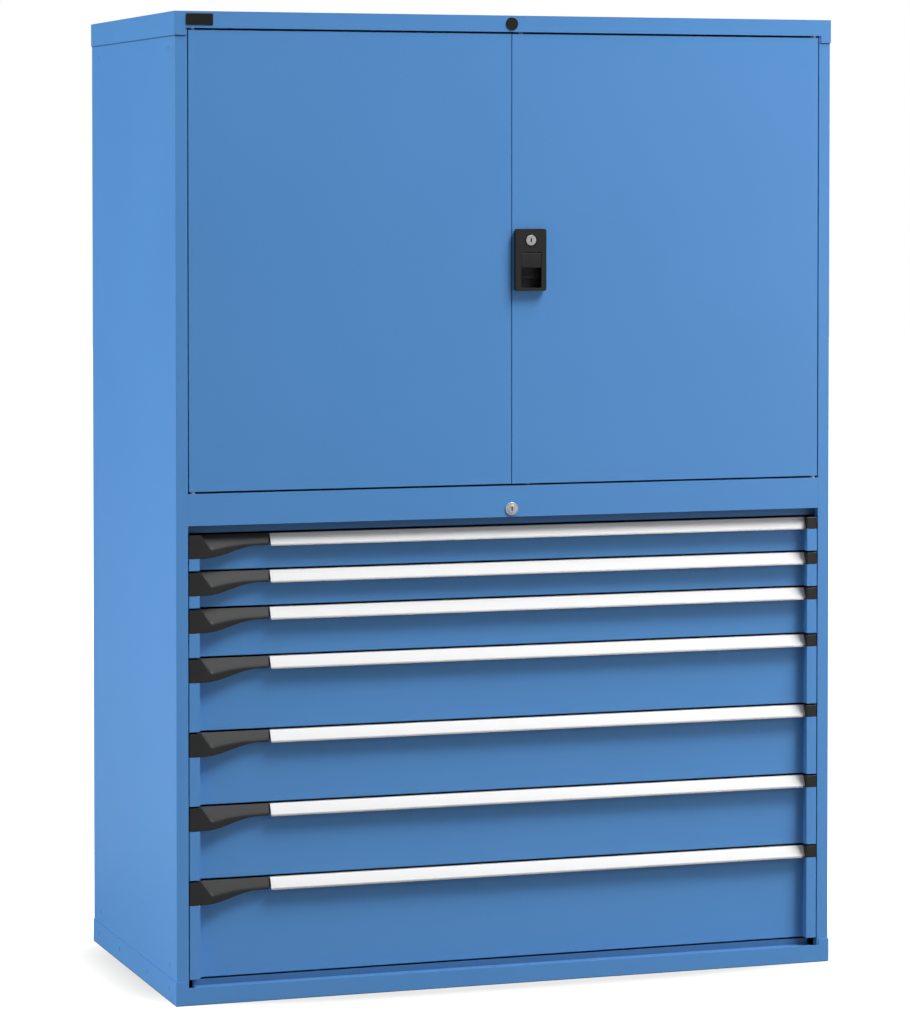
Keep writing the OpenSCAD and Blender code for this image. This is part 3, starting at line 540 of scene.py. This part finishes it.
def handle_outlines(settings):
    """Outlines of the handle's profile and of the label strip in its groove.

    The profile goes from its back edge down the sloping face, where the groove begins 0.9 mm below the top and
    ends above the lip, then round a fine line 2.6 mm below the groove and round the front edge. It comes back
    under the wall and ends in a flange that hangs down behind the drawer's front.
    """
    length = math.hypot(settings.reach, settings.drop)
    first, last = 0.9 * MM, length - settings.lip
    groove, play, film = 0.5 * MM, 0.1 * MM, 0.4 * MM
    line, line_half, line_deep = last + 2.6 * MM, 0.4 * MM, 0.35 * MM
    back, flange, underside, foot = 20 * MM, 18.5 * MM, 5.6 * MM, 16 * MM
    below = slope_point(settings, underside, -settings.wall)[0]
    profile = [
        (back, 0), slope_point(settings, 0), slope_point(settings, first),
        slope_point(settings, first, -groove), slope_point(settings, last, -groove),
        slope_point(settings, last), slope_point(settings, line - line_half),
        slope_point(settings, line, -line_deep), slope_point(settings, line + line_half),
        slope_point(settings, length), slope_point(settings, length, -settings.wall),
        (below, -underside), (flange, -underside), (flange, -foot), (back, -foot)]
    radius = [0.1, 0.25, 0.15, 0.05, 0.05, 0.15, 0.1, 0.1, 0.1, 0.75, 0.75, 0.6, 0.6, 0.2, 0.2]
    first, last = first + play, last - play
    strip = [slope_point(settings, first), slope_point(settings, first, -film),
             slope_point(settings, last, -film), slope_point(settings, last)]
    return rounded(profile, np.array(radius) * MM), rounded(strip, 0.12 * MM)


class BuildHandles(bpy.types.Operator):
    """Full-length handles: a light-alloy profile with a rounded lip, and the white strip in its groove"""
    bl_idname = "cabinet.build_handles"
    bl_label = "Handles"

    def execute(self, context):
        settings = context.scene.cabinet_handles
        alloy = drawn_alloy()
        white = label_film(context.scene.cabinet_finishes.label)
        outline, strip = handle_outlines(settings)
        for n in DRAWERS:
            node = f"drawer_{n}_handle"
            low, high = corners(node)
            origin = np.array([FRONT, high[2]])
            start = low[0] + settings.start
            profile = carried(outline + origin, start, high[0])
            piece(f"drawer_{n}_profile", profile, f"drawer_{n}", alloy, (node,))
            film = carried(strip + origin, start - 0.1 * MM, high[0] - 0.3 * MM)
            piece(f"drawer_{n}_label", film, f"drawer_{n}", white)
        return {"FINISHED"}


def grip_front(settings, length, columns, rows):
    """Front of a grip, from its left end (x = 0) and the top of the handle (z = 0).

    The height falls from tall to low by half a cosine wave between 30.8 and 148.8 mm. The plan goes back along
    a line through six points. Right of a slanted line the face is the smooth maximum of the plan and of a
    slope like the handle's, which comes forward as it goes down, so that a flat slope turns into the hollow
    lower part. The columns follow the slanted line, with the share named split to its left, and since that
    line depends on z and z on x, three passes settle both.
    """
    s = np.linspace(0, 1, columns)[None, :]
    t = np.linspace(0, 1, rows)[:, None]
    split = 0.24
    line_top, line_slant = 26.4 * MM, 20.8 / 29
    wave_start, wave_length = 30.8 * MM, 118 * MM
    blend, step_width = 0.9 * MM, 1.6 * MM
    z = -t * settings.grip_tall * np.ones_like(s)
    for _ in range(3):
        line = line_top - line_slant * z
        left = line * (s / split)
        right = line + (length - line) * np.clip((s - split) / (1 - split), 0, 1)
        x = np.where(s < split, left, right)
        wave = np.clip((x - wave_start) / wave_length, 0, 1)
        lift = (settings.grip_tall - settings.grip_low) * (1 + np.cos(math.pi * wave)) / 2
        z = -t * (settings.grip_low + lift)
    along = np.array([0, 25, 53, 83, 113, length / MM]) * MM
    plan = np.interp(x, along, np.array([0, 1.2, 3.6, 6.2, 7.8, 8.9]) * MM)
    gap = SLOPE_TOP + settings.reach / settings.drop * z - plan
    face = plan + (gap + np.sqrt(gap ** 2 + blend ** 2)) / 2
    step = np.clip((x - line) / step_width + 0.5, 0, 1)
    step = step * step * (3 - 2 * step)
    y = plan + step * (np.minimum(face, SLOPE_TOP) - plan)
    return x, y, z


def grip_shell(settings, left, length, top):
    """Front of a grip with its top and both ends folded back to 19 mm behind the drawer's front plane."""
    x, y, z = grip_front(settings, length, settings.columns, rows=32)
    rear = 19 * MM
    back = np.full_like(y[:, :1], rear)
    x = np.hstack([x[:, :1], x, x[:, -1:]])
    y = np.hstack([back, y, back])
    z = np.hstack([z[:, :1], z, z[:, -1:]])
    x = np.vstack([x[:1], x])
    y = np.vstack([np.full_like(y[:1], rear), y])
    z = np.vstack([z[:1], z])
    points = np.stack([left + x, FRONT + y, top + z], axis=-1)
    return points.reshape(-1, 3), grid_faces(*x.shape)


def grip_pivot(settings, left, right, top):
    """Two hinge arms of a grip with their pin, and the tongue that reaches into the handle's profile, with a
    front that slopes as the handle's does."""
    origin = np.array([FRONT, top])
    root, end, over, under = 17 * MM, 27 * MM, -3 * MM, -9 * MM
    arm = [(root, under), (root, over), (end, over), (end, under)]
    outline = rounded(arm, np.array([0.3, 0.3, 2.9, 2.9]) * MM) + origin
    first, last, thick = left + 51 * MM, right - 12.3 * MM, 4 * MM
    arms = [carried(outline, start, start + thick) for start in (first, last)]
    pin_radius, pin_place = 2 * MM, np.array([24, -6]) * MM
    pin = carried(circle(pin_radius, origin + pin_place), first, last + thick)
    high, low = -1.2 * MM, -20 * MM
    foot = 23.1 * MM + low * settings.reach / settings.drop
    tongue = rounded([(SLOPE_TOP, high), (SLOPE_TOP, low), (foot, low)], 0.2 * MM) + origin
    inside, beyond = 1.5 * MM, settings.start + 0.6 * MM
    return joined(*arms, pin, carried(tongue, right - inside, right + beyond))


class BuildGrips(bpy.types.Operator):
    """Black moulded grips at the left ends of the handles, with their hinge arms and pins"""
    bl_idname = "cabinet.build_grips"
    bl_label = "Grips"

    def execute(self, context):
        settings = context.scene.cabinet_handles
        black = moulded("grip plastic", context.scene.cabinet_finishes.moulding, 0.42)
        for n in DRAWERS:
            node = f"drawer_{n}_grip"
            low, high = corners(node)
            top = corners(f"drawer_{n}_handle")[1][2]
            shape = grip_shell(settings, low[0], high[0] - low[0], top)
            shell = piece(f"{node}_shell", shape, f"grip_{n}", black, (node,))
            add_bevel(shell, 1.0 * MM, 3)
            wall = shell.modifiers.new("wall", "SOLIDIFY")
            wall.thickness = settings.grip_wall
            wall.offset = -1
            pivot = grip_pivot(settings, low[0], high[0], top)
            piece(f"{node}_pivot", pivot, f"grip_{n}", black)
        return {"FINISHED"}


class BuildEndCaps(bpy.types.Operator):
    """Black caps that close the right ends of the handles"""
    bl_idname = "cabinet.build_end_caps"
    bl_label = "End caps"

    def execute(self, context):
        black = moulded("end cap plastic", context.scene.cabinet_finishes.moulding, 0.40)
        for n in DRAWERS:
            softened(f"drawer_{n}_end_cap", f"drawer_{n}", black, 0.9 * MM)
        return {"FINISHED"}


def key_axis(node):
    """Middle of the round front of a lock cylinder and its radius. The cam behind it reaches further to the
    right than the front does, so both are taken from the points within 1 mm of the front plane."""
    points = np.array([corner.co[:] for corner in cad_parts[node].data.vertices])
    front = points[points[:, 1] < points[:, 1].min() + 1 * MM]
    low, high = front.min(axis=0), front.max(axis=0)
    return (low + high) / 2, float(high[0] - low[0]) / 2


def paddle_outline(top):
    """Section of the paddle in depth and height below its top edge: a flat plate, a step back from its foot,
    and a tail along a quarter ellipse 5 mm deep and 26 mm high that is followed for 60 degrees."""
    plate_front, plate_back, tail_front, tail_back = -9.5, -4.5, 3.5, 6.0
    step_top, step_foot, tail_top = -28, -31, -30
    deep, high = 5, 26
    angle = np.radians(np.linspace(0, 60, 14))
    tail = np.column_stack([-deep * (1 - np.cos(angle)), tail_top - high * np.sin(angle)])
    front = tail[::-1] + (tail_front, 0)
    back = tail + (tail_back, 0)
    plate = np.array([(tail_front, step_foot), (plate_front, step_foot), (plate_front, 0), (plate_back, 0),
                      (plate_back, step_top), (tail_back, step_top)])
    outline = np.concatenate([plate, back[1:], front[:-1]]) * MM
    radius = np.full(len(outline), 0.2 * MM)
    radius[:len(plate)] = np.array([0.6, 1.2, 1.4, 0.8, 1.2, 0.8]) * MM
    tip = len(plate) + len(back) - 2
    radius[tip] = radius[tip + 1] = 0.9 * MM
    return rounded(outline, radius) + (FRONT, top)


class BuildDoorLock(bpy.types.Operator):
    """Door lock: the black housing, its paddle with the pin, and the key cylinder"""
    bl_idname = "cabinet.build_door_lock"
    bl_label = "Door lock"

    def execute(self, context):
        lock = context.scene.cabinet_finishes.lock
        axis, radius = key_axis("key_cylinder")
        # The housing is painted near black up to 2.6 mm beyond the cylinder, as shade in its groove
        housing = moulded("lock housing plastic", lock, 0.42, axis, radius + 2.6 * MM)
        softened("lock_housing", "right_door_leaf", housing, 0.6 * MM, flat=True)
        black = moulded("lock paddle plastic", lock, 0.42)
        low, high = corners("lock_paddle")
        play = 4.0 * MM
        plate = carried(paddle_outline(high[2]), low[0] + play, high[0] - play)
        pin = carried(circle(1.5 * MM, (FRONT - 7 * MM, high[2] - 4.8 * MM)), low[0], high[0])
        paddle = piece("paddle_plate", joined(plate, pin), "paddle", black,
                       ("lock_paddle",))
        add_bevel(paddle, 0.5 * MM)
        softened("key_cylinder", "key", chrome_plate("key chrome", axis), 0.4 * MM)
        return {"FINISHED"}


class BuildDrawerLock(bpy.types.Operator):
    """Drawer lock in the fascia: the collar and the plug with its key slot"""
    bl_idname = "cabinet.build_drawer_lock"
    bl_label = "Drawer lock"

    def execute(self, context):
        chrome = chrome_plate("drawer lock chrome", key_axis("drawer_lock_plug")[0])
        softened("drawer_lock_body", "cabinet", chrome, 0.6 * MM)
        softened("drawer_lock_plug", "drawer_lock_key", chrome, 0.4 * MM)
        return {"FINISHED"}


def plug_profile(radius, depth):
    """Profile of the cap's plug in radius and depth: a face hollowed by 0.15 mm, a quarter circle of 1.4 mm
    to the rim, and behind the rim a shank of 10 mm radius."""
    edge, rim, shank = 1.4 * MM, 1.5 * MM, 10 * MM
    turn = np.linspace(0, math.pi / 2, 12)
    dome = np.column_stack([radius - edge + edge * np.sin(turn), edge * (1 - np.cos(turn))])
    face = [(0, 0.15 * MM), (radius * 0.5, 0.08 * MM)]
    return np.concatenate([face, dome, [(radius, rim), (shank, rim), (shank, depth), (0, depth)]])


class BuildTrim(bpy.types.Operator):
    """Blank plate at the upper left and the round plug in the middle of the cap"""
    bl_idname = "cabinet.build_trim"
    bl_label = "Plate and plug"

    def execute(self, context):
        black = moulded("trim plastic", context.scene.cabinet_finishes.lock, 0.30)
        softened("badge_plate", "cabinet", black, 0.35 * MM, flat=True)
        low, high = corners("top_plug")
        centre = ((low[0] + high[0]) / 2, low[1], (low[2] + high[2]) / 2)
        profile = plug_profile((high[0] - low[0]) / 2, high[1] - low[1])
        piece("top_plug_dome", turned(profile, centre), "cabinet", black, ("top_plug",))
        return {"FINISHED"}


class BuildStage(bpy.types.Operator):
    """Pale floor, soft lamps, white surroundings and the camera"""
    bl_idname = "cabinet.build_stage"
    bl_label = "Stage"

    def execute(self, context):
        settings = context.scene.cabinet_stage
        context.scene.view_settings.view_transform = "Standard"
        self.add_floor(settings)
        self.add_world(settings)
        for name, power, size, place, target in LAMPS:
            self.add_lamp(name, power * settings.lamps, size, place, target)
        self.add_camera(settings)
        return {"FINISHED"}

    def add_floor(self, settings):
        """Square slab, 60 m wide and 5 cm thick, whose top lies 1 mm below the cabinet."""
        half, top, bottom = 30.0, -0.001, -0.051
        section = [(-half, top), (half, top), (half, bottom), (-half, bottom)]
        points, faces = carried(np.array(section), -half, half)
        mesh = bpy.data.meshes.new("floor")
        mesh.from_pydata(points.tolist(), [], faces)
        mesh.materials.append(self.floor_finish(settings))
        floor = bpy.data.objects.new("floor", mesh)
        bpy.context.scene.collection.objects.link(floor)

    def floor_finish(self, settings):
        """Matt floor that glows white for the camera. Close to the cabinet the glow is weaker, which paints a
        grey shade round the base over the real shadow that falls there. Under the base it doesn't glow. Beside
        it the share of the glow is 0.42, and it grows to 1 while the sum of the fourth powers of both distances
        from the middle, in half widths and half depths, goes from 0.9 to 2.5. Its grey is darker for the camera
        than for the light that it throws back."""
        finish = Finish("pale floor")
        seen = finish.node("LightPath", output="Is Camera Ray")
        grey = finish.mix(finish.noise(40.0, 2.0), (0.09, 0.09, 0.09, 1), (0.10, 0.10, 0.10, 1))
        matt = finish.node("BsdfDiffuse", {}, {"Color": finish.mix(seen, (0.22, 0.22, 0.22, 1), grey)})
        glow = finish.node("Emission", {}, {"Color": WHITE, "Strength": settings.glow})
        # The weaker glow near the cabinet paints a grey shade round the base, over the real shadow there
        half_width, half_depth, near_share = 0.74, 0.40, 0.42
        near, fade = 0.9, 1.6
        across = finish.away((0, 0, 0), (1 / half_width, 0, 0))
        along = finish.away((0, 0, 0), (0, 1 / half_depth, 0))
        spread = across * across * across * across + along * along * along * along
        grown = finish.node("Clamp", {}, {"Value": (spread - near) / fade})
        low, high = corners("base_tray")
        middle, half = (low + high) / 2, (high - low) / 2
        under = ((finish.away(middle, (1, 0, 0)) < float(half[0]))
                 * (finish.away(middle, (0, 1, 0)) < float(half[1])))
        share = (near_share + (1 - near_share) * grown) * (1 - under) * seen
        surface = finish.node("MixShader", {}, {0: share, 1: matt, 2: glow})
        finish.node("OutputMaterial", {}, {"Surface": surface})
        return finish.material

    def add_world(self, settings):
        """White for the camera. For everything else a grey: the ambient strength plus the sky's times the
        cube of the direction's height, where that is above the floor."""
        world = bpy.data.worlds.new("studio")
        bpy.context.scene.world = world
        sky = Tree(world)
        height = sky.node("SeparateXYZ", {}, {0: sky.node("TexCoord", output="Generated")}, output="Z")
        grey = (settings.sky * (height * height * height) + settings.ambient).at_least(settings.ambient)
        plain = sky.node("Background", {}, {"Color": WHITE, "Strength": grey})
        white = sky.node("Background", {}, {"Color": WHITE})
        seen = sky.node("LightPath", output="Is Camera Ray")
        sky.node("OutputWorld", {}, {"Surface": sky.node("MixShader", {}, {0: seen, 1: plain, 2: white})})

    def add_lamp(self, name, power, size, place, target):
        """Square soft lamp that looks at its target."""
        lamp = bpy.data.lights.new(name, "AREA")
        lamp.energy = power
        lamp.size = size
        made = bpy.data.objects.new(name, lamp)
        bpy.context.scene.collection.objects.link(made)
        made.location = place
        way = made.location.copy()
        way.x, way.y, way.z = (t - p for t, p in zip(target, place))
        made.rotation_euler = way.to_track_quat("-Z", "Y").to_euler()

    def add_camera(self, settings):
        """Camera at the photograph's angle: turned to the right and slightly down."""
        camera = bpy.data.cameras.new("camera")
        camera.lens = settings.lens
        camera.sensor_width = 36
        camera.shift_y = CAMERA_SHIFT
        made = bpy.data.objects.new("camera", camera)
        bpy.context.scene.collection.objects.link(made)
        made.location = CAMERA_PLACE
        made.rotation_euler = (math.pi / 2 - CAMERA_DOWN, 0, -CAMERA_RIGHT)
        bpy.context.scene.camera = made


BUILDERS = (
    BuildStage, FinishSheets, FinishMetalParts, BuildHandles, BuildGrips, BuildEndCaps, BuildDoorLock,
    BuildDrawerLock, BuildTrim,
)


class CabinetPanel(bpy.types.Panel):
    """Settings and steps of the cabinet"""
    bl_idname = "VIEW3D_PT_cabinet"
    bl_label = "Tool cabinet"
    bl_space_type = "VIEW_3D"
    bl_region_type = "UI"
    bl_category = "Cabinet"

    def draw(self, context):
        scene = context.scene
        for settings in (scene.cabinet_finishes, scene.cabinet_handles, scene.cabinet_stage):
            box = self.layout.box()
            for key in settings.__annotations__:
                box.prop(settings, key)
        for builder in BUILDERS:
            self.layout.operator(builder.bl_idname)


CLASSES = (CabinetFinishes, CabinetHandles, CabinetStage) + BUILDERS + (CabinetPanel,)


def register():
    """Adds the classes and gives each scene its settings."""
    for item in CLASSES:
        bpy.utils.register_class(item)
    bpy.types.Scene.cabinet_finishes = PointerProperty(type=CabinetFinishes)
    bpy.types.Scene.cabinet_handles = PointerProperty(type=CabinetHandles)
    bpy.types.Scene.cabinet_stage = PointerProperty(type=CabinetStage)


def unregister():
    """Takes the settings and the classes away again."""
    del bpy.types.Scene.cabinet_stage
    del bpy.types.Scene.cabinet_handles
    del bpy.types.Scene.cabinet_finishes
    for item in reversed(CLASSES):
        bpy.utils.unregister_class(item)


def main():
    """Registers the add-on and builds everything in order."""
    register()
    for builder in BUILDERS:
        group, _, step = builder.bl_idname.partition(".")
        getattr(getattr(bpy.ops, group), step)()


if __name__ == "__main__":
    main()
